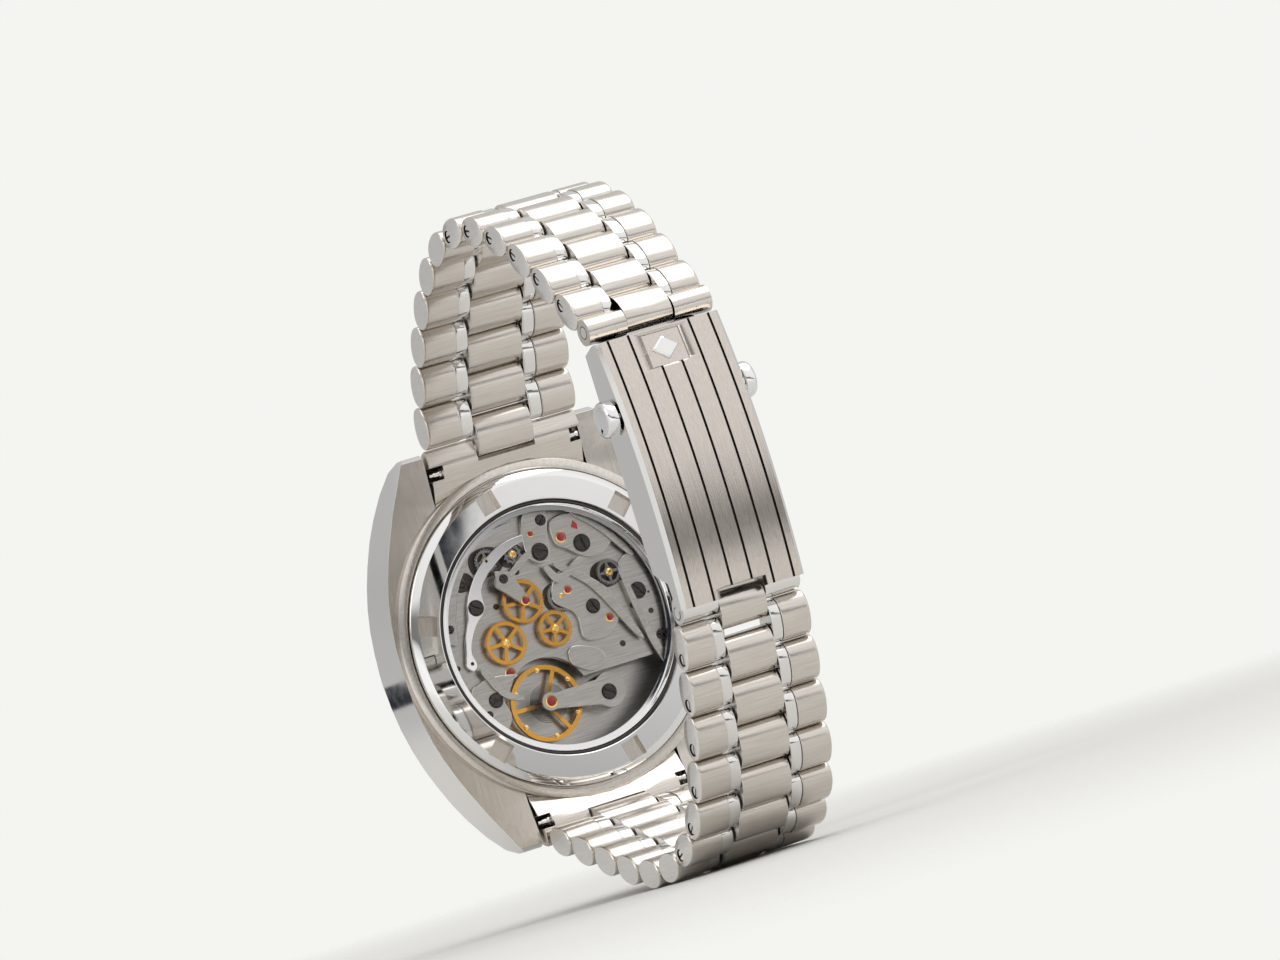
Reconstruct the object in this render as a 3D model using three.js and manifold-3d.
// A hand-wound chronograph wristwatch on its steel bracelet, standing as it is worn round a wrist.
// Millimetres. +X is the side without the crown, +Y points from the wrist-side cover of the case
// to the clasp, and +Z points to the lugs at 6 o'clock. The origin is the middle of the flat
// outer face of the case back's glass.
import * as THREE from "three";
import { mergeVertices } from "three/addons/utils/BufferGeometryUtils.js";
import Module from "manifold-3d";

const wasm = await Module();
wasm.setup();

// ---- Driving dimensions ----
// Gaps
const RUNNING_GAP = 0.06; // round a pin that turns in its hole
const SIDE_GAP = 0.12; // between pieces that lie side by side
const SEAT_GAP = 0.05; // under a piece that is pressed or screwed down on its seat
const SLEEVE_GAP = 0.05; // between the arbors of the hands
const LEVEL_GAP = 0.09; // between hands that pass over each other

// Movement
const PLATE_RADIUS = 15.7;
const PLATE_THICKNESS = 1.5;
const BRIDGE_THICKNESS = 0.9;
const BRIDGE_INSET = 0.3; // from the plate's edge to the bridge's edge
const BRIDGE_WALL = 1.2;
const TRAIN_ROOM = 1.7; // between the plate and the bridges
const CHRONO_ROOM = 1.4; // between the bridges and the case back
const WHEEL_THICKNESS = 0.25;
const WHEEL_HEIGHT = 0.6; // of the chronograph wheels over the bridges
const WHEEL_RIM = 0.4;
const DRIVING_WHEEL_RADIUS = 2.65;
const COUPLING_SPOT = [2.9, 4.1]; // x and z of the coupling wheel
const BALANCE_SPOT = [2.9, -8]; // x and z of the balance
const BALANCE_RADIUS = 4.5;
const BALANCE_RIM = 0.6;
const BALANCE_HEIGHT = 0.5;
const BALANCE_GAP = 0.7; // from the balance to the bridge round it
const ARBOR_RADIUS = 0.3;
const COCK_ROOM = 1.7; // from the balance's middle to the straight edge of the train bridge
const COCK_FOOT_RADIUS = 2.1;
const COCK_THICKNESS = 0.5;
const LEVER_PIVOT = [8.7, 4.9]; // x and z of the clutch lever's screw
const LEVER_WIDTH = 0.84;
const LEVER_THICKNESS = 0.45;
const LEVER_HEIGHT = 0.15; // over the bridges

// Dial and hands
const DIAL_THICKNESS = 0.4;
const DIAL_GAP = 0.2; // between the dial and the plate
const HAND_THICKNESS = 0.16;
const HAND_HEIGHT = 0.34; // from the dial to the small hands
const SUBDIAL_OFFSET = 6.5; // from the middle of the dial to the middle of each small dial
const SUBDIAL_RADIUS = 3.5;
const HOUR_HAND_LENGTH = 8;

// Case. Each radius is the one inside it and the wall between them.
const BORE_GAP = 0.3; // between the movement and the case
const MOVEMENT_BORE = PLATE_RADIUS + BORE_GAP;
const DIAL_LEDGE = 0.8; // the case covers the dial's edge by this
const DIAL_OPENING = MOVEMENT_BORE - DIAL_LEDGE;
const GLASS_LAP = 1.1; // the back ring covers the movement's edge by this
const BACK_GLASS_RADIUS = PLATE_RADIUS - GLASS_LAP;
const BACK_GLASS_THICKNESS = 1;
const BACK_GLASS_PROUD = 0.1; // the glass stands this far out of the ring's flat face
const BACK_SEAT_WIDTH = 0.8; // the ledge that carries the glass
const BACK_LEDGE = 0.5; // from the glass to the case's own back face
const GRIP_COUNT = 6; // pockets for the case opener
const GRIP_SIZE = 2.4;
const GRIP_DEPTH = 0.6;
const GRIP_INNER_LAND = 0.95; // from the glass to a pocket
const GRIP_OUTER_LAND = 0.85; // from a pocket to the ring's edge
const GRIP_TURN = 14.5; // degrees from 6 o'clock to the first pocket
const BACK_RING_RADIUS = BACK_GLASS_RADIUS + GRIP_INNER_LAND + GRIP_SIZE + GRIP_OUTER_LAND;
const GASKET_WALL = 0.3; // metal between the gasket's groove and the movement
const GASKET_WIDTH = 0.95;
const GASKET_DEPTH = 0.65;
const CASE_WALL = 1.2; // from the back ring to the band between the lugs
const LUG_WALL_RADIUS = BACK_RING_RADIUS + CASE_WALL;
const BAND_SWELL = 0.3; // the band at 3 and 9 o'clock stands out by this
const CASE_RADIUS = LUG_WALL_RADIUS + BAND_SWELL;
const CROWN_GUARD = 0.9; // how far the crown side swells past the band
const LUG_LENGTH = 3.9; // from the band to a lug tip
const LUG_REACH = LUG_WALL_RADIUS + LUG_LENGTH;
const LUG_WIDTH = 20; // between the lugs, the width of the end links
const LUG_THICKNESS = 3.1;

// Levels, from the glass of the back down to the dial side
const CASE_BACK_PLANE = -BACK_GLASS_THICKNESS - BACK_LEDGE;
const BRIDGE_PLANE = CASE_BACK_PLANE - CHRONO_ROOM;
const PLATE_PLANE = BRIDGE_PLANE - BRIDGE_THICKNESS - TRAIN_ROOM;
const DIAL_PLANE = PLATE_PLANE - PLATE_THICKNESS - DIAL_GAP; // back of the dial
const DIAL_SHELF = 0.35; // thickness of the case under the dial's edge
const CASE_FRONT_PLANE = DIAL_PLANE - DIAL_THICKNESS - SEAT_GAP - DIAL_SHELF - DIAL_THICKNESS;
const STEM_PLANE = PLATE_PLANE + 0.9; // how deep the stem and the pushers lie

// Front
const BEZEL_INSET = 0.3; // the bezel stands back from the band by this
const BEZEL_RADIUS = CASE_RADIUS - BEZEL_INSET;
const BEZEL_HEIGHT = 2.3;
const BEZEL_DISH = 0.75; // how far the bezel's face falls to its edge
const INSERT_THICKNESS = 0.5;
const CRYSTAL_LEDGE = 1; // the case carries the crystal's edge by this
const CRYSTAL_RADIUS = DIAL_OPENING + CRYSTAL_LEDGE;
const CRYSTAL_HEIGHT = 0.75; // of the crystal's foot over the case
const CRYSTAL_EDGE = 1.6;
const CRYSTAL_DOME = 1.9;

// Crown and pushers
const CROWN_RADIUS = 3.2;
const CROWN_LENGTH = 3.6;
const CROWN_GAP = 0.35;
const STEM_RADIUS = 0.7;
const STEM_HOLD = 1.2; // how far the stem enters the crown
const PUSHER_OFFSET = 9.1; // from the crown's axis to a pusher's axis
const PUSHER_RADIUS = 2.1;
const PUSHER_CAP = 2.4;
const PUSHER_STEM_RADIUS = 0.9;
const PUSHER_TRAVEL = 0.8;

// Bracelet
const LINK_PITCH = 5.25;
const LINK_THICKNESS = 3.4;
const CLASP_WIDTH = 15.6; // the bracelet narrows to this at the clasp
const CENTRE_SHARE = 0.37; // part of the width that the centre row takes
const PIN_RADIUS = 0.6;
const PIN_INSET = 0.5; // how far a pin's end lies under the side of its link
const FIRST_PIVOT_REACH = 2.85; // from the band to the pin in an end link
const FIRST_PIVOT_HEIGHT = 0.95; // of that pin over the case's back face
// How far each joint is bent from the piece before it, in degrees, from the case to the clasp.
const UPPER_BENDS = [16, 13, 10, 7, 7, 14, 18, 19, 13, 13, 7, 0, 0];
const LOWER_BENDS = [73, -3, 0, 2, 8, 15, 15, 18, 18, 9, 4, 4, 4];

// Clasp
const EAR_RADIUS = 1.55;
const COVER_START = EAR_RADIUS + 0.2; // from the upper end pin to the top plate
const COVER_END = 0.1; // from the top plate to the lower end pin
const COVER_RISE = [2.25, 2.65]; // height of the top plate's two ends over the line of the pins
const COVER_ARCH = 1.35;
const COVER_PLATE = 0.95;
const COVER_WALL = 0.9;
const FLANK_DEPTH = [1.4, 2.15]; // how far the flanks reach below the line of the pins
const BLADE_THICKNESS = 0.8;
const BLADE_HINGE_RADIUS = 0.85;
const BLADE_PIN_RADIUS = 0.4;
const BLADE_KNUCKLE = 6; // width of the middle blade's knuckles
const BUTTON_RADIUS = 2.1;
const BUTTON_REACH = 1;
const BUTTON_STEM_RADIUS = 1;
const BUTTON_STEM_REACH = 0.15; // how far the stem stands out inside the flank
const BUTTON_TRAVEL = 0.6;
const BUTTON_PLACE = [10, 0.9]; // along and above the line of the pins
const TAIL_NOSE = 0.6; // how far the last centre piece reaches past the lower end pin
const NOSE_GAP = 0.6; // from that nose to the end of the cover's notch

// ---- Materials ----
function material(color, roughness, metalness) {
  return new THREE.MeshStandardMaterial({ color, roughness, metalness });
}
const brushedSteel = material("#c9c5bf", 0.35, 1);
const polishedSteel = material("#dcdbd8", 0.08, 1);
const rhodiumPlate = material("#b4b2ad", 0.4, 1);
const gildedBrass = material("#d9a24a", 0.25, 1);
const blackAluminium = material("#141414", 0.5, 0.4);
const dialLacquer = material("#101012", 0.55, 0);
const handPaint = material("#eceae4", 0.4, 0.1);
const sapphire = material("#eef4f6", 0.02, 0);
const rubberSeal = material("#161616", 0.7, 0);

// ---- Solids ----
function solid(geometry) {
  const bare = geometry.clone();
  bare.deleteAttribute("normal");
  bare.deleteAttribute("uv");
  const merged = mergeVertices(bare, 1e-4);
  return new wasm.Manifold(
    new wasm.Mesh({
      numProp: 3,
      vertProperties: merged.attributes.position.array,
      triVerts: new Uint32Array(merged.index.array),
    }),
  );
}

function geometryOf(made) {
  const mesh = made.getMesh();
  const geometry = new THREE.BufferGeometry();
  geometry.setAttribute("position", new THREE.BufferAttribute(mesh.vertProperties, 3));
  geometry.setIndex(new THREE.BufferAttribute(mesh.triVerts, 1));
  geometry.computeVertexNormals();
  return geometry;
}

function joined(...solids) {
  return solids.reduce((whole, next) => whole.add(next));
}

// A prism along X over an outline of [y, z] points.
function prismX(outline, from, to) {
  const shape = new THREE.Shape(outline.map(([y, z]) => new THREE.Vector2(y, z)));
  const geometry = new THREE.ExtrudeGeometry(shape, { depth: to - from, bevelEnabled: false });
  const turn = new THREE.Matrix4().makeBasis(
    new THREE.Vector3(0, 1, 0),
    new THREE.Vector3(0, 0, 1),
    new THREE.Vector3(1, 0, 0),
  );
  geometry.applyMatrix4(turn);
  geometry.translate(from, 0, 0);
  return solid(geometry);
}

// A plate across Y over an outline of [x, z] points.
function plateY(outline, low, high) {
  const shape = new THREE.Shape(outline.map(([x, z]) => new THREE.Vector2(x, z)));
  const geometry = new THREE.ExtrudeGeometry(shape, { depth: high - low, bevelEnabled: false });
  const turn = new THREE.Matrix4().makeBasis(
    new THREE.Vector3(1, 0, 0),
    new THREE.Vector3(0, 0, 1),
    new THREE.Vector3(0, -1, 0),
  );
  geometry.applyMatrix4(turn);
  geometry.translate(0, high, 0);
  return solid(geometry);
}

// Points of an ellipse round [a, b], as an outline, with a corner at each end of its axes.
function oval(a, b, radiusA, radiusB, count) {
  return Array.from({ length: count }, (_, i) => {
    const angle = (2 * Math.PI * i) / count;
    return [a + radiusA * Math.cos(angle), b + radiusB * Math.sin(angle)];
  });
}

function disc(x, z, radius, low, high, count = 24) {
  return plateY(oval(x, z, radius, radius, count), low, high);
}

function rod(y, z, radius, from, to, count = 10) {
  return prismX(oval(y, z, radius, radius, count), from, to);
}

// The cutter for a hole in which a rod of this radius turns: its flats clear the rod.
function bore(y, z, radius, from, to, count = 10) {
  return rod(y, z, (radius + RUNNING_GAP) / Math.cos(Math.PI / count), from, to, count);
}

// A body turned round the Y axis, from a closed profile of [radius, y] points.
function turned(profile, count = 36) {
  const area = profile.reduce((sum, [r, y], i) => {
    const [nextR, nextY] = profile[(i + 1) % profile.length];
    return sum + r * nextY - nextR * y;
  }, 0);
  const ordered = area > 0 ? profile : [...profile].reverse();
  const points = [...ordered, ordered[0]].map(([r, y]) => new THREE.Vector2(r, y));
  return solid(new THREE.LatheGeometry(points, count));
}

function ring(inner, outer, low, high, count = 36) {
  return turned([[inner, low], [outer, low], [outer, high], [inner, high]], count);
}

function box(low, high) {
  const size = high.map((value, axis) => value - low[axis]);
  const geometry = new THREE.BoxGeometry(...size);
  geometry.translate(...low.map((value, axis) => value + size[axis] / 2));
  return solid(geometry);
}

// ---- Assembly helpers ----
const watch = new THREE.Group();

function piece(name, made, finish, parent = watch) {
  const mesh = new THREE.Mesh(geometryOf(made), finish);
  mesh.name = name;
  parent.add(mesh);
  return mesh;
}

// ---- Case ----
// One quarter of the plan, from the widest place to the inner corner of a lug tip.
function flank(swell) {
  const curve = new THREE.CubicBezierCurve(
    new THREE.Vector2(CASE_RADIUS + swell, 0),
    new THREE.Vector2(CASE_RADIUS + swell, 0.42 * LUG_REACH),
    new THREE.Vector2(0.84 * CASE_RADIUS, 0.62 * LUG_REACH),
    new THREE.Vector2(LUG_WIDTH / 2 + LUG_THICKNESS, LUG_REACH - 0.7),
  );
  const edge = curve.getPoints(9).map((point) => [point.x, point.y]);
  const inner = LUG_WIDTH / 2 + SIDE_GAP;
  return [...edge, [inner + 0.75 * LUG_THICKNESS, LUG_REACH], [inner, LUG_REACH]];
}

function casePlan() {
  const plain = flank(0);
  const guarded = flank(CROWN_GUARD);
  const right = [...plain.map(([x, z]) => [x, -z]).reverse(), ...plain.slice(1)];
  const left = [...guarded.map(([x, z]) => [-x, z]).reverse(), ...guarded.slice(1).map(([x, z]) => [-x, -z])];
  return [...right, ...left];
}

// The side view of the case with its lugs, which turn down towards the wrist.
function caseSide() {
  const upper = [
    [CASE_BACK_PLANE, LUG_REACH - 5.4],
    [CASE_BACK_PLANE + 0.55, LUG_REACH - 1.6],
    [CASE_BACK_PLANE + 0.6, LUG_REACH - 0.5],
    [CASE_BACK_PLANE - 0.1, LUG_REACH],
    [CASE_BACK_PLANE - 1.6, LUG_REACH],
    [CASE_FRONT_PLANE + 3.4, LUG_REACH - 0.9],
    [CASE_FRONT_PLANE + 1.5, LUG_REACH - 2.9],
    [CASE_FRONT_PLANE + 0.4, LUG_REACH - 5.4],
    [CASE_FRONT_PLANE, LUG_REACH - 7.6],
  ];
  return [...upper, ...upper.map(([y, z]) => [y, -z]).reverse()];
}

const stemBores = [
  { z: 0, radius: STEM_RADIUS },
  { z: PUSHER_OFFSET, radius: PUSHER_STEM_RADIUS },
  { z: -PUSHER_OFFSET, radius: PUSHER_STEM_RADIUS },
];

// The rubber ring lies in a groove of the case, which is the same ring made larger by the gap.
function gasketRing(inset) {
  return ring(
    MOVEMENT_BORE + GASKET_WALL + inset,
    MOVEMENT_BORE + GASKET_WALL + GASKET_WIDTH - inset,
    CASE_BACK_PLANE - GASKET_DEPTH + inset,
    CASE_BACK_PLANE - inset,
    36,
  );
}

function midCase() {
  const widest = CASE_RADIUS + 5;
  const plan = plateY(casePlan(), CASE_FRONT_PLANE, CASE_BACK_PLANE + 1);
  const body = plan.intersect(prismX(caseSide(), -widest, widest));
  const reach = LUG_WIDTH / 2 + SIDE_GAP;
  const between = [-1, 1].map((side) => {
    const near = side > 0 ? LUG_WALL_RADIUS / 2 : -LUG_REACH - 2;
    const slot = box([-reach, CASE_FRONT_PLANE - 1, near], [reach, 1, near + LUG_REACH + 2 - LUG_WALL_RADIUS / 2]);
    return slot.subtract(disc(0, 0, LUG_WALL_RADIUS, CASE_FRONT_PLANE - 2, 2, 48));
  });
  const hollow = disc(0, 0, MOVEMENT_BORE, CASE_FRONT_PLANE + DIAL_THICKNESS + DIAL_SHELF, 1, 48);
  const opening = disc(0, 0, DIAL_OPENING, CASE_FRONT_PLANE - 1, 0, 48);
  const seat = disc(0, 0, BACK_RING_RADIUS + SEAT_GAP, CASE_BACK_PLANE, 1, 48);
  const bores = stemBores.map(({ z, radius }) =>
    bore(STEM_PLANE, z, radius, -widest, -MOVEMENT_BORE / 2, 12),
  );
  return [...between, hollow, opening, seat, gasketRing(0), ...bores].reduce((left, cut) => left.subtract(cut), body);
}
piece("mid_case", midCase(), brushedSteel);

function backRing() {
  const glass = BACK_GLASS_RADIUS + SEAT_GAP;
  const glassSeat = -BACK_GLASS_THICKNESS - SEAT_GAP;
  const face = -BACK_GLASS_PROUD;
  const profile = [
    [BACK_RING_RADIUS, CASE_BACK_PLANE + SEAT_GAP],
    [BACK_RING_RADIUS, face - 0.6],
    [BACK_RING_RADIUS - 0.7, face],
    [glass + 0.5, face],
    [glass, face - 0.25],
    [glass, glassSeat],
    [glass - BACK_SEAT_WIDTH, glassSeat],
    [glass - BACK_SEAT_WIDTH, CASE_BACK_PLANE + SEAT_GAP],
  ];
  let made = turned(profile, 48);
  for (let i = 0; i < GRIP_COUNT; i++) {
    const angle = (360 / GRIP_COUNT) * i + GRIP_TURN;
    const near = BACK_RING_RADIUS - GRIP_OUTER_LAND - GRIP_SIZE;
    const floor = -BACK_GLASS_PROUD - GRIP_DEPTH;
    const pocket = box([-GRIP_SIZE / 2, floor, near], [GRIP_SIZE / 2, 1, near + GRIP_SIZE]);
    made = made.subtract(pocket.rotate([0, angle, 0]));
  }
  return made;
}
piece("caseback_ring", backRing(), polishedSteel);
piece(
  "caseback_crystal",
  disc(0, 0, BACK_GLASS_RADIUS, -BACK_GLASS_THICKNESS, 0, 48),
  sapphire,
);
piece("caseback_gasket", gasketRing(SEAT_GAP), rubberSeal);

// ---- Bezel, crystal and dial ----
const bezelTop = CASE_FRONT_PLANE - BEZEL_HEIGHT;
const bezelSeat = CRYSTAL_RADIUS + SEAT_GAP;
piece(
  "bezel",
  turned([
    [bezelSeat, CASE_FRONT_PLANE - SEAT_GAP],
    [BEZEL_RADIUS - 0.6, CASE_FRONT_PLANE - SEAT_GAP],
    [BEZEL_RADIUS, CASE_FRONT_PLANE - 0.6],
    [BEZEL_RADIUS - 0.3, bezelTop + BEZEL_DISH + 0.15],
    [BEZEL_RADIUS - 0.9, bezelTop + BEZEL_DISH],
    [bezelSeat + 0.35, bezelTop],
    [bezelSeat, bezelTop],
  ]),
  polishedSteel,
);
// The insert is a shallow cone that follows the slope of the bezel's face.
function slopeAt(radius) {
  const share = (radius - bezelSeat - 0.35) / (BEZEL_RADIUS - 0.9 - bezelSeat - 0.35);
  return bezelTop + BEZEL_DISH * share - SEAT_GAP;
}
const insertInner = bezelSeat + 0.5;
const insertOuter = BEZEL_RADIUS - 1.05;
piece(
  "bezel_insert",
  turned([
    [insertInner, slopeAt(insertInner)],
    [insertOuter, slopeAt(insertOuter)],
    [insertOuter, slopeAt(insertOuter) - INSERT_THICKNESS],
    [insertInner, slopeAt(insertInner) - INSERT_THICKNESS],
  ]),
  blackAluminium,
);
const crystalFoot = CASE_FRONT_PLANE - CRYSTAL_HEIGHT;
piece(
  "front_crystal",
  turned([
    [0, crystalFoot - CRYSTAL_EDGE],
    [0, crystalFoot - CRYSTAL_EDGE - CRYSTAL_DOME],
    [0.35 * CRYSTAL_RADIUS, crystalFoot - CRYSTAL_EDGE - 0.9 * CRYSTAL_DOME],
    [0.7 * CRYSTAL_RADIUS, crystalFoot - CRYSTAL_EDGE - 0.55 * CRYSTAL_DOME],
    [0.96 * CRYSTAL_RADIUS, crystalFoot - CRYSTAL_EDGE],
    [CRYSTAL_RADIUS, crystalFoot - CRYSTAL_EDGE + 0.4],
    [CRYSTAL_RADIUS, crystalFoot],
    [CRYSTAL_RADIUS - 1, crystalFoot],
    [CRYSTAL_RADIUS - 1.2, crystalFoot - 0.55 * CRYSTAL_EDGE],
    [0.6 * CRYSTAL_RADIUS, crystalFoot - CRYSTAL_EDGE + 0.1],
  ]),
  sapphire,
);

const dialFace = DIAL_PLANE - DIAL_THICKNESS;
const arborHole = ARBOR_RADIUS + 0.25;
const subdials = [
  { spot: [SUBDIAL_OFFSET, 0], name: "running_seconds" },
  { spot: [-SUBDIAL_OFFSET, 0], name: "minute_counter" },
  { spot: [0, SUBDIAL_OFFSET], name: "hour_counter" },
];
piece(
  "dial",
  [[0, 0], ...subdials.map((dial) => dial.spot)].reduce(
    (made, [x, z]) => made.subtract(disc(x, z, arborHole, dialFace - 1, DIAL_PLANE + 1, 12)),
    disc(0, 0, MOVEMENT_BORE - BORE_GAP, dialFace, DIAL_PLANE, 48),
  ),
  dialLacquer,
);
piece(
  "dial_flange",
  turned([
    [DIAL_OPENING - 0.15, dialFace - SEAT_GAP],
    [DIAL_OPENING - 1.3, dialFace - SEAT_GAP],
    [DIAL_OPENING - 0.9, crystalFoot + 0.1],
    [DIAL_OPENING - 0.15, crystalFoot + 0.1],
  ]),
  dialLacquer,
);

// ---- Hands ----
// A hand points to 12 o'clock, which is -Z, and turns on its arbor.
function hand([x, z], length, tail, width, level, hub) {
  const shoulder = 0.92 * length;
  const outline = [
    [x + width / 2, z + tail],
    [x + width / 2, z - shoulder],
    [x, z - length],
    [x - width / 2, z - shoulder],
    [x - width / 2, z + tail],
  ];
  const blade = plateY(outline, level, level + HAND_THICKNESS);
  return joined(blade, disc(x, z, hub, level, level + HAND_THICKNESS, 12));
}
const counterLevel = dialFace - HAND_HEIGHT - HAND_THICKNESS;
const levelStep = HAND_THICKNESS + LEVEL_GAP;
const hourLevel = counterLevel - levelStep;
const minuteLevel = hourLevel - levelStep;
const secondsLevel = minuteLevel - levelStep;
const arborTop = DIAL_PLANE + 0.1;
const secondsArbor = 0.14;
const minuteSleeve = 0.26;
const hourSleeve = 0.4;
const middle = [0, 0];
function pierced(made, inner) {
  return made.subtract(disc(0, 0, inner, CASE_FRONT_PLANE - 4, 0, 12));
}
const minuteHand = joined(
  hand(middle, DIAL_OPENING - 2.6, 0.9, 1, minuteLevel, 0.9),
  disc(0, 0, minuteSleeve, minuteLevel, arborTop, 12),
);
const hourHand = joined(
  hand(middle, HOUR_HAND_LENGTH, 0.9, 1.2, hourLevel, 1),
  disc(0, 0, hourSleeve, hourLevel, arborTop, 12),
);
const secondsHand = joined(
  hand(middle, DIAL_OPENING - 1.2, 3.6, 0.5, secondsLevel, 0.8),
  disc(0, 0, secondsArbor, secondsLevel, arborTop, 8),
);
piece("hour_hand", pierced(hourHand, minuteSleeve + SLEEVE_GAP), handPaint);
piece("minute_hand", pierced(minuteHand, secondsArbor + SLEEVE_GAP), handPaint);
piece("chrono_seconds_hand", secondsHand, handPaint);
subdials.forEach(({ spot, name }) => {
  const made = joined(
    hand(spot, SUBDIAL_RADIUS - 0.3, 0.9, 0.4, counterLevel, 0.5),
    disc(...spot, ARBOR_RADIUS, counterLevel, arborTop, 8),
  );
  piece(name + "_hand", made, handPaint);
});

// ---- Movement ----
piece(
  "main_plate",
  disc(0, 0, PLATE_RADIUS, PLATE_PLANE - PLATE_THICKNESS, PLATE_PLANE, 48),
  rhodiumPlate,
);

const [couplingX, couplingZ] = COUPLING_SPOT;
const [balanceX, balanceZ] = BALANCE_SPOT;
const bridgeFoot = PLATE_PLANE + SEAT_GAP;
const bridgeLow = BRIDGE_PLANE - BRIDGE_THICKNESS;
const wheelLow = BRIDGE_PLANE + WHEEL_HEIGHT;
const wheelTop = wheelLow + WHEEL_THICKNESS;

// The bridge covers the plate except round the balance, and stands on a wall along its edge.
function trainBridge() {
  const radius = PLATE_RADIUS - BRIDGE_INSET;
  const cover = disc(0, 0, radius, bridgeLow, BRIDGE_PLANE, 48);
  const wall = ring(radius - BRIDGE_WALL, radius, bridgeFoot, BRIDGE_PLANE, 48);
  const balanceRoom = disc(balanceX, balanceZ, BALANCE_RADIUS + BALANCE_GAP, bridgeFoot - 1, 0, 32);
  const below = box([-radius - 1, bridgeFoot - 1, -radius - 1], [radius + 1, 0, balanceZ + COCK_ROOM]);
  return joined(cover, wall).subtract(balanceRoom).subtract(below);
}
piece("train_bridge", trainBridge(), rhodiumPlate);

// The balance cock stands on the plate beside the balance and reaches over its middle.
function balanceCock() {
  const low = BRIDGE_PLANE - COCK_THICKNESS;
  const footX = balanceX - BALANCE_RADIUS - 1 - COCK_FOOT_RADIUS;
  const foot = disc(footX, balanceZ - 0.7, COCK_FOOT_RADIUS, bridgeFoot, BRIDGE_PLANE, 20);
  const armOutline = [
    [footX + 0.2, balanceZ + 0.9],
    [footX + 0.2, balanceZ - 2.3],
    [balanceX + 0.7, balanceZ - 0.8],
    [balanceX + 0.7, balanceZ + 0.8],
  ];
  const arm = plateY(armOutline, low, BRIDGE_PLANE);
  return joined(foot, arm, disc(balanceX, balanceZ, 1.1, low, BRIDGE_PLANE, 20));
}
piece("balance_cock", balanceCock(), rhodiumPlate);

// A wheel with spokes, cut from one disc. Its levels are [low, high] of the disc and of the arbor.
function spokedWheel([x, z], radius, rim, spokes, [low, high], [arborLow, arborHigh]) {
  const hub = 0.28 * radius;
  const half = Math.PI / spokes - 0.16;
  let made = disc(x, z, radius, low, high, 32);
  for (let i = 0; i < spokes; i++) {
    const middleAngle = (2 * Math.PI * (i + 0.5)) / spokes;
    const at = (distance, turn) => [
      x + distance * Math.cos(middleAngle + turn),
      z + distance * Math.sin(middleAngle + turn),
    ];
    const rimSide = [-half, 0, half].map((turn) => at(radius - rim, turn));
    const hubSide = [half, -half].map((turn) => at(hub, turn));
    made = made.subtract(plateY([...rimSide, ...hubSide], low - 1, high + 1));
  }
  return joined(made, disc(x, z, ARBOR_RADIUS, arborLow, arborHigh, 10));
}
const balanceTop = bridgeLow - BALANCE_HEIGHT;
piece(
  "balance_wheel",
  spokedWheel(
    BALANCE_SPOT,
    BALANCE_RADIUS,
    BALANCE_RIM,
    3,
    [balanceTop - BALANCE_HEIGHT, balanceTop],
    [bridgeFoot, BRIDGE_PLANE - COCK_THICKNESS - 0.1],
  ),
  gildedBrass,
);

// The driving wheel turns the coupling wheel, which turns the chronograph's centre wheel.
const couplingDistance = Math.hypot(couplingX - SUBDIAL_OFFSET, couplingZ);
const couplingRadius = couplingDistance - DRIVING_WHEEL_RADIUS - SIDE_GAP;
const chronoRadius = Math.hypot(couplingX, couplingZ) - couplingRadius - SIDE_GAP;
[
  { name: "driving_wheel", spot: [SUBDIAL_OFFSET, 0], radius: DRIVING_WHEEL_RADIUS, head: 0.2 },
  { name: "coupling_wheel", spot: COUPLING_SPOT, radius: couplingRadius, head: 0.1 },
  { name: "chrono_wheel", spot: middle, radius: chronoRadius, head: 0.2 },
].forEach(({ name, spot, radius, head }) => {
  const arbor = [BRIDGE_PLANE + SIDE_GAP, wheelTop + head];
  piece(name, spokedWheel(spot, radius, WHEEL_RIM, 5, [wheelLow, wheelTop], arbor), gildedBrass);
});

// The cock of the coupling wheel is a teardrop plate on a foot beside the wheel.
function couplingCock() {
  const footX = couplingX + 1.9;
  const footZ = couplingZ + 3.1;
  const low = wheelTop + 0.25;
  const across = [0.86, -0.52]; // direction square to the cock's length
  const outline = [
    [couplingX - 0.6 * across[0], couplingZ - 0.6 * across[1]],
    [footX - 1.3 * across[0], footZ - 1.3 * across[1]],
    [footX + 0.7, footZ + 1.2],
    [footX + 1.3 * across[0], footZ + 1.3 * across[1]],
    [couplingX + 0.6 * across[0], couplingZ + 0.6 * across[1]],
    [couplingX - 0.3, couplingZ - 0.5],
  ];
  const foot = disc(footX, footZ, 0.55, BRIDGE_PLANE + SEAT_GAP, low + 0.1, 16);
  return joined(plateY(outline.reverse(), low, low + COCK_THICKNESS), foot);
}
piece("coupling_cock", couplingCock(), rhodiumPlate);

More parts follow.
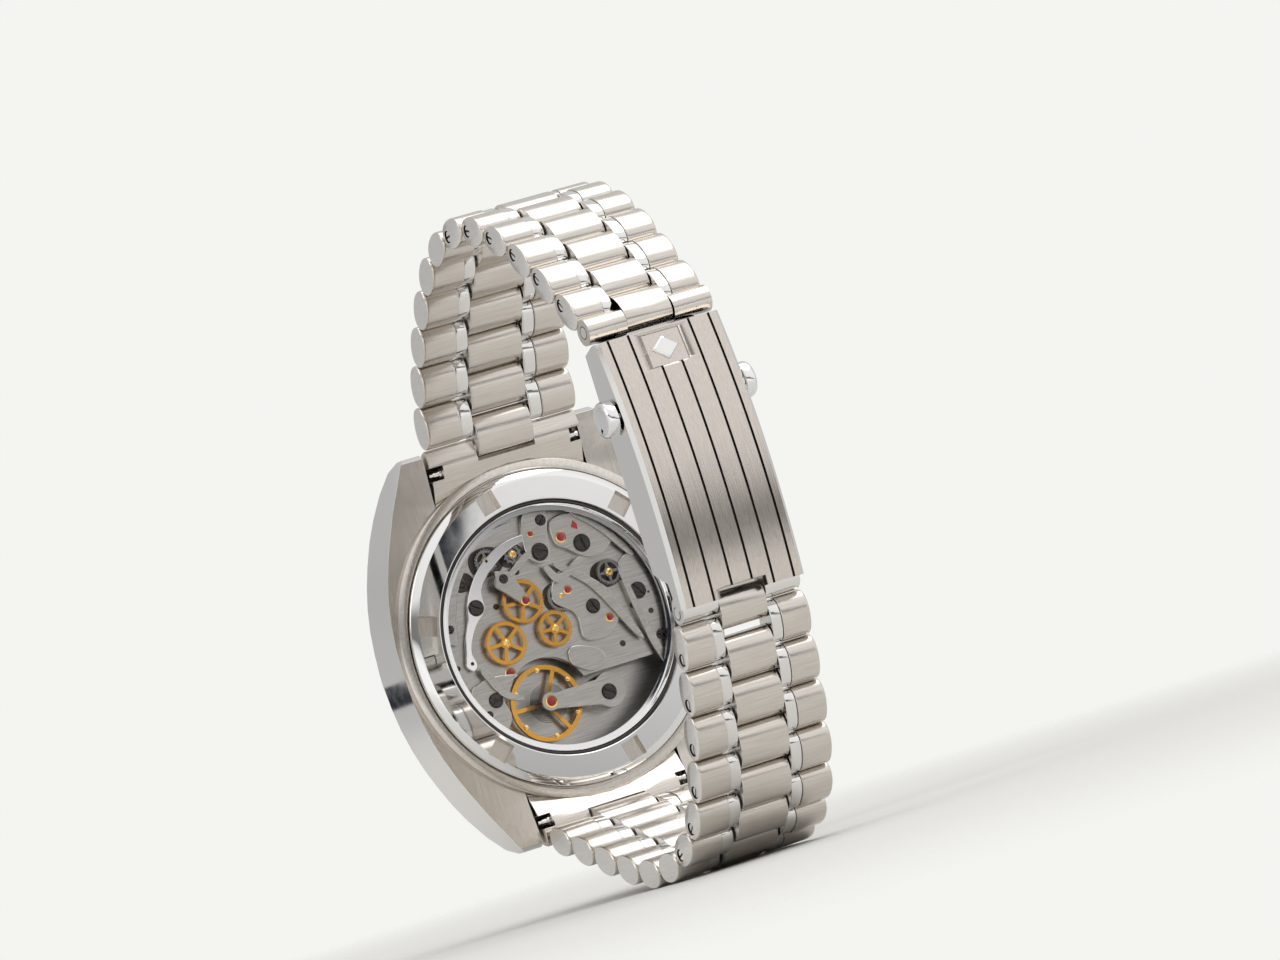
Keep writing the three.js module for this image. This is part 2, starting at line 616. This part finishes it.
// The long clutch lever swings on a shouldered screw and bends round the wheels.
function clutchLever() {
  const [pivotX, pivotZ] = LEVER_PIVOT;
  const spine = new THREE.CatmullRomCurve3([
    new THREE.Vector3(pivotX - 9.3, pivotZ + 6.3, 0),
    new THREE.Vector3(pivotX - 6.3, pivotZ + 6.2, 0),
    new THREE.Vector3(pivotX - 2.5, pivotZ + 4, 0),
    new THREE.Vector3(pivotX, pivotZ, 0),
    new THREE.Vector3(pivotX + 1.8, pivotZ - 2.6, 0),
    new THREE.Vector3(pivotX + 2.5, pivotZ - 6, 0),
  ]);
  const steps = 12;
  const points = spine.getPoints(steps);
  const side = (offset) =>
    points.map((point, i) => {
      const tangent = spine.getTangent(i / steps);
      return [point.x - offset * tangent.y, point.y + offset * tangent.x];
    });
  const low = BRIDGE_PLANE + LEVER_HEIGHT;
  const high = low + LEVER_THICKNESS;
  const outline = [...side(LEVER_WIDTH / 2), ...side(-LEVER_WIDTH / 2).reverse()];
  const eye = disc(pivotX, pivotZ, 0.85, low, high, 16);
  const tip = disc(pivotX + 2.5, pivotZ - 6, 0.65, low, high, 14);
  return joined(plateY(outline.reverse(), low, high), eye, tip);
}
piece("clutch_lever", clutchLever(), polishedSteel);

// ---- Crown and pushers ----
const crownSide = -(CASE_RADIUS + CROWN_GUARD);
const crownFoot = crownSide - CROWN_GAP;
piece(
  "winding_stem",
  rod(STEM_PLANE, 0, STEM_RADIUS, crownFoot - STEM_HOLD, 0.1 - MOVEMENT_BORE, 12),
  polishedSteel,
);
const FLUTE_POINTS = 48; // two points on a ridge and two in the groove beside it
const crownOutline = Array.from({ length: FLUTE_POINTS }, (_, i) => {
  const angle = (2 * Math.PI * i) / FLUTE_POINTS;
  const radius = CROWN_RADIUS - (i % 4 < 2 ? 0 : 0.22);
  return [STEM_PLANE + radius * Math.cos(angle), radius * Math.sin(angle)];
});
piece(
  "crown",
  prismX(crownOutline, crownFoot - CROWN_LENGTH, crownFoot).subtract(
    bore(STEM_PLANE, 0, STEM_RADIUS, crownFoot - STEM_HOLD - 0.1, crownFoot + 1, 12),
  ),
  polishedSteel,
);
// A pusher's stem ends in the case wall, where it still clears the movement when it is pressed.
const pusherEnd = -Math.sqrt((MOVEMENT_BORE + PUSHER_TRAVEL + 0.3) ** 2 - PUSHER_OFFSET ** 2);
["start_pusher", "reset_pusher"].forEach((name, i) => {
  const z = i === 0 ? -PUSHER_OFFSET : PUSHER_OFFSET;
  const foot = crownSide + 0.3 - PUSHER_TRAVEL;
  const cap = rod(STEM_PLANE, z, PUSHER_RADIUS, foot - PUSHER_CAP, foot, 20);
  const stem = rod(STEM_PLANE, z, PUSHER_STEM_RADIUS, foot - 0.5, pusherEnd, 12);
  piece(name, joined(cap, stem), polishedSteel);
});

// ---- Bracelet ----
const BAR_SIDES = 12;
const PIN_SIDES = 8;
const halfLink = LINK_PITCH / 2 - SIDE_GAP / 2;
const pinStep = LINK_PITCH / 4; // from the middle of a piece to each of its two pins

const endWidth = LUG_WIDTH - 2 * SIDE_GAP;
const firstPivot = [CASE_BACK_PLANE + FIRST_PIVOT_HEIGHT, LUG_WALL_RADIUS + FIRST_PIVOT_REACH];

function widthAt(share) {
  return THREE.MathUtils.lerp(endWidth, CLASP_WIDTH, share);
}

// A domed bar across the bracelet, with its middle at [0, z].
function bar(z, from, to, half = halfLink) {
  return prismX(oval(0, z, LINK_THICKNESS / 2, half, BAR_SIDES), from, to);
}

// One link in its own frame: its pivot is the origin, and it runs along +Z to the next pivot.
function link(width) {
  const centre = (CENTRE_SHARE * width) / 2;
  const inner = centre + SIDE_GAP;
  const middle = bar(pinStep, -centre, centre).subtract(
    bore(0, 0, PIN_RADIUS, -width, width, PIN_SIDES),
  );
  const outers = [
    bar(3 * pinStep, inner, width / 2),
    bar(3 * pinStep, -width / 2, -inner),
  ];
  const reach = width / 2 - PIN_INSET;
  const screw = rod(0, 2 * pinStep, PIN_RADIUS, -reach, reach, PIN_SIDES);
  const pin = rod(0, LINK_PITCH, PIN_RADIUS, -reach, reach, PIN_SIDES);
  return joined(middle, ...outers, screw, pin);
}

// The end link fills the space between the lugs and holds the first pin.
function endLink() {
  const half = endWidth / 2;
  const [pivotY, pivotZ] = firstPivot;
  const nose = pivotZ + pinStep - SIDE_GAP / 2;
  const inside = LUG_WALL_RADIUS - 8; // cut off along the band below
  const outline = [
    [CASE_BACK_PLANE - 0.6, inside],
    [CASE_BACK_PLANE - 0.6, LUG_WALL_RADIUS - 2.7],
    [pivotY + 0.7, pivotZ - 1.4],
    [pivotY + 0.75, pivotZ - 0.3],
    [pivotY + 0.45, nose - 0.3],
    [pivotY, nose],
    [pivotY - 0.9, nose - 0.25],
    [pivotY - 2.2, nose - 0.9],
    [pivotY - 4.4, nose - 2.6],
    [CASE_FRONT_PLANE + 1.4, nose - 4.4],
    [CASE_FRONT_PLANE + 0.7, nose - 6.2],
    [CASE_FRONT_PLANE + 0.7, inside],
  ];
  const body = prismX(outline, -half, half).subtract(
    disc(0, 0, LUG_WALL_RADIUS + SIDE_GAP, CASE_FRONT_PLANE - 2, 2, 48),
  );
  const notchHalf = (CENTRE_SHARE * widthAt(0)) / 2 + SIDE_GAP;
  const notch = box(
    [-notchHalf, pivotY - LINK_THICKNESS, pivotZ - pinStep - 0.25],
    [notchHalf, 5, LUG_REACH + 5],
  );
  const pin = rod(pivotY, pivotZ, PIN_RADIUS, -half + PIN_INSET, half - PIN_INSET, PIN_SIDES);
  return joined(body.subtract(notch), pin);
}

// A side of the case for the bracelet: the 6 o'clock side as it is, the other turned half a turn.
function caseEnd(turn) {
  const end = new THREE.Group();
  end.rotation.y = turn;
  watch.add(end);
  return end;
}
const upperEnd = caseEnd(0);
const lowerEnd = caseEnd(Math.PI);
piece("upper_end_link", endLink(), brushedSteel, upperEnd);
piece("lower_end_link", endLink(), brushedSteel, lowerEnd);

// The last lower link also carries the centre piece that enters the clasp. Its pin belongs to the
// clasp and is left out, so that the closed loop of the bracelet is open at this one pivot.
function tail(bend) {
  const centre = (CENTRE_SHARE * CLASP_WIDTH) / 2;
  const reach = 2 * pinStep + TAIL_NOSE;
  const half = (reach + pinStep - SIDE_GAP / 2) / 2;
  return bar(reach - half, -centre, centre, half)
    .rotate([-bend, 0, 0])
    .translate([0, 0, LINK_PITCH]);
}

// Hangs the links on each other, and returns the group at the far end, at the last pivot.
function chain(prefix, end, bends, tailed) {
  let place = new THREE.Group();
  place.position.set(0, ...firstPivot);
  end.add(place);
  bends.slice(0, -1).forEach((bend, i) => {
    place.rotation.x = THREE.MathUtils.degToRad(-bend);
    const plain = link(widthAt((i + 0.5) / (bends.length - 1)));
    const last = tailed && i === bends.length - 2;
    const made = last ? joined(plain, tail(bends.at(-1))) : plain;
    piece(prefix + "_link_" + String(i + 1).padStart(2, "0"), made, brushedSteel, place);
    const next = new THREE.Group();
    next.position.set(0, 0, LINK_PITCH);
    place.add(next);
    place = next;
  });
  place.rotation.x = THREE.MathUtils.degToRad(-bends.at(-1));
  return place;
}
const upperFar = chain("upper", upperEnd, UPPER_BENDS, false);
const lowerFar = chain("lower", lowerEnd, LOWER_BENDS, true);

// ---- Clasp ----
// The clasp's own frame: its origin is the upper end pin, +Z runs to the lower end pin and
// +Y points away from the wrist, so its +X is the crown side. It is worked out from where the two
// chains end.
watch.updateMatrixWorld(true);
const upperPin = upperFar.localToWorld(new THREE.Vector3(0, 0, 2 * pinStep));
const lowerPin = lowerFar.localToWorld(new THREE.Vector3(0, 0, 2 * pinStep));
const along = lowerPin.clone().sub(upperPin);
const SPAN = along.length(); // from the upper end pin to the lower end pin
along.normalize();
const across = new THREE.Vector3(-1, 0, 0);
const outward = new THREE.Vector3().crossVectors(along, across);
const clasp = new THREE.Group();
clasp.position.copy(upperPin);
clasp.quaternion.setFromRotationMatrix(new THREE.Matrix4().makeBasis(across, outward, along));
watch.add(clasp);
clasp.updateMatrixWorld(true);
const inClasp = (point) => clasp.worldToLocal(point.clone());
const upperPivot = inClasp(upperFar.getWorldPosition(new THREE.Vector3()));
const lowerPivot = inClasp(lowerFar.getWorldPosition(new THREE.Vector3()));

const claspHalf = CLASP_WIDTH / 2;
const coverFrom = COVER_START;
const coverTo = SPAN - COVER_END;
function coverHeight(s) {
  const share = (s - coverFrom) / (coverTo - coverFrom);
  return COVER_RISE[0] + (COVER_RISE[1] - COVER_RISE[0]) * share + 4 * COVER_ARCH * share * (1 - share);
}
function flankDepth(s) {
  const share = (s - coverFrom) / (coverTo - coverFrom);
  return -(FLANK_DEPTH[0] + (FLANK_DEPTH[1] - FLANK_DEPTH[0]) * share);
}
function arc(from, to, steps, height) {
  return Array.from({ length: steps + 1 }, (_, i) => {
    const s = from + ((to - from) * i) / steps;
    return [height(s), s];
  });
}
const flankEnd = SPAN - 5; // where the straight part of the flanks ends
// y and z of the pins at the two ends of the middle blade
const blades = {
  upperHinge: [0.7, coverFrom + 2.9],
  lowerHinge: [-0.55, flankEnd],
};

function claspCover() {
  const top = arc(coverFrom, coverTo, 14, coverHeight);
  const outer = [
    ...top,
    [0.9, SPAN + 1.2],
    [-0.3, SPAN + 1.25],
    [-0.95, SPAN],
    [-0.3, SPAN - 1.5],
    [1, SPAN - 2.2],
    [1, SPAN - 3.4],
    [flankDepth(flankEnd), flankEnd],
    [flankDepth(coverFrom), coverFrom + 0.7],
    [COVER_RISE[0] - 1.4, coverFrom],
  ];
  const inner = [
    ...arc(coverFrom - 2, SPAN - 2.6, 12, (s) => coverHeight(s) - COVER_PLATE),
    [-6, SPAN - 2.6],
    [-6, coverFrom - 2],
  ];
  const shell = prismX(outer, -claspHalf, claspHalf).subtract(
    prismX(inner, -claspHalf + COVER_WALL, claspHalf - COVER_WALL),
  );
  const notchHalf = (CENTRE_SHARE * CLASP_WIDTH) / 2 + SIDE_GAP;
  const notch = box([-notchHalf, -5, SPAN - TAIL_NOSE - NOSE_GAP], [notchHalf, 8, SPAN + 5]);
  const pinReach = claspHalf - COVER_WALL / 2;
  const pin = rod(...blades.upperHinge, BLADE_PIN_RADIUS, -pinReach, pinReach, PIN_SIDES);
  const buttonBore = bore(BUTTON_PLACE[1], BUTTON_PLACE[0], BUTTON_STEM_RADIUS, -20, 20, 12);
  return joined(shell.subtract(notch), pin).subtract(buttonBore);
}
piece("clasp_cover", claspCover(), brushedSteel, clasp);

// A straight plate between two places [y, z].
function strap([y1, z1], [y2, z2], half) {
  const outline = [
    [y1 - BLADE_THICKNESS / 2, z1],
    [y1 + BLADE_THICKNESS / 2, z1],
    [y2 + BLADE_THICKNESS / 2, z2],
    [y2 - BLADE_THICKNESS / 2, z2],
  ];
  return prismX(outline.reverse(), -half, half);
}
const bladeHalf = claspHalf - COVER_WALL - BUTTON_STEM_REACH - BUTTON_TRAVEL - SIDE_GAP;
const hingeHalf = BLADE_KNUCKLE / 2;

function middleBlade() {
  const hinges = [blades.upperHinge, blades.lowerHinge];
  const [upperY, upperZ] = blades.upperHinge;
  const [lowerY, lowerZ] = blades.lowerHinge;
  const offset = BLADE_HINGE_RADIUS - BLADE_THICKNESS / 2;
  const room = BLADE_HINGE_RADIUS + 0.45;
  const tongue = strap([upperY, upperZ], [lowerY + offset, lowerZ], hingeHalf);
  const ends = box([-bladeHalf - 1, -9, upperZ + room], [bladeHalf + 1, 9, lowerZ - room]);
  const plate = strap([upperY, upperZ], [lowerY + offset, lowerZ], bladeHalf).intersect(ends);
  const knuckles = hinges.map(([y, z]) => rod(y, z, BLADE_HINGE_RADIUS, -hingeHalf, hingeHalf, 12));
  const bores = hinges.map(([y, z]) =>
    bore(y, z, BLADE_PIN_RADIUS, -hingeHalf - 1, hingeHalf + 1, 8),
  );
  return bores.reduce((made, cut) => made.subtract(cut), joined(plate, tongue, ...knuckles));
}
piece("clasp_middle_blade", middleBlade(), polishedSteel, clasp);

// The inner blade carries the ears and the centre piece that join it to the last upper link.
function innerBlade() {
  const [hingeY, hingeZ] = blades.lowerHinge;
  const centreHalf = (CENTRE_SHARE * CLASP_WIDTH) / 2;
  const knuckleFrom = hingeHalf + SIDE_GAP;
  const slope = Math.atan2(upperPivot.y, -upperPivot.z);
  const middle = bar(pinStep, -centreHalf, centreHalf)
    .subtract(bore(0, 0, PIN_RADIUS, -20, 20, PIN_SIDES))
    .rotate([(slope * 180) / Math.PI, 0, 0])
    .translate([0, upperPivot.y, upperPivot.z]);
  const ears = [-1, 1].map((side) => {
    const near = centreHalf + SIDE_GAP;
    const range = side > 0 ? [near, claspHalf] : [-claspHalf, -near];
    const scoop = rod(upperPivot.y, upperPivot.z, pinStep + SIDE_GAP / 2, -20, 20, 20);
    return rod(0, 0, EAR_RADIUS, ...range, 14).subtract(scoop);
  });
  const bladeStart = [-FLANK_DEPTH[0] + 0.55, 0.2];
  const bladeEnd = [hingeY - BLADE_HINGE_RADIUS + BLADE_THICKNESS / 2, hingeZ];
  const plate = strap(bladeStart, bladeEnd, bladeHalf);
  const knuckles = [-1, 1].map((side) => {
    const range = side > 0 ? [knuckleFrom, bladeHalf] : [-bladeHalf, -knuckleFrom];
    return rod(hingeY, hingeZ, BLADE_HINGE_RADIUS, ...range, 12);
  });
  const room = rod(hingeY, hingeZ, BLADE_HINGE_RADIUS + 0.2, -knuckleFrom, knuckleFrom, 16);
  const pinReach = bladeHalf - 0.3;
  const pin = rod(hingeY, hingeZ, BLADE_PIN_RADIUS, -pinReach, pinReach, PIN_SIDES);
  const screwReach = claspHalf - PIN_INSET;
  const screw = rod(0, 0, PIN_RADIUS, -screwReach, screwReach, PIN_SIDES);
  return joined(joined(plate, ...ears, middle, ...knuckles, screw).subtract(room), pin);
}
piece("clasp_inner_blade", innerBlade(), polishedSteel, clasp);

["plain_side_button", "crown_side_button"].forEach((name, i) => {
  const side = i === 0 ? -1 : 1;
  const span = (from, to) => (side > 0 ? [from, to] : [-to, -from]);
  const [s, height] = BUTTON_PLACE;
  const headFoot = claspHalf + BUTTON_TRAVEL + SIDE_GAP;
  const head = rod(height, s, BUTTON_RADIUS, ...span(headFoot, headFoot + BUTTON_REACH), 18);
  const stemFrom = claspHalf - COVER_WALL - BUTTON_STEM_REACH;
  const stem = rod(height, s, BUTTON_STEM_RADIUS, ...span(stemFrom, headFoot + 0.2), 12);
  piece(name, joined(head, stem), polishedSteel, clasp);
});

export default watch;
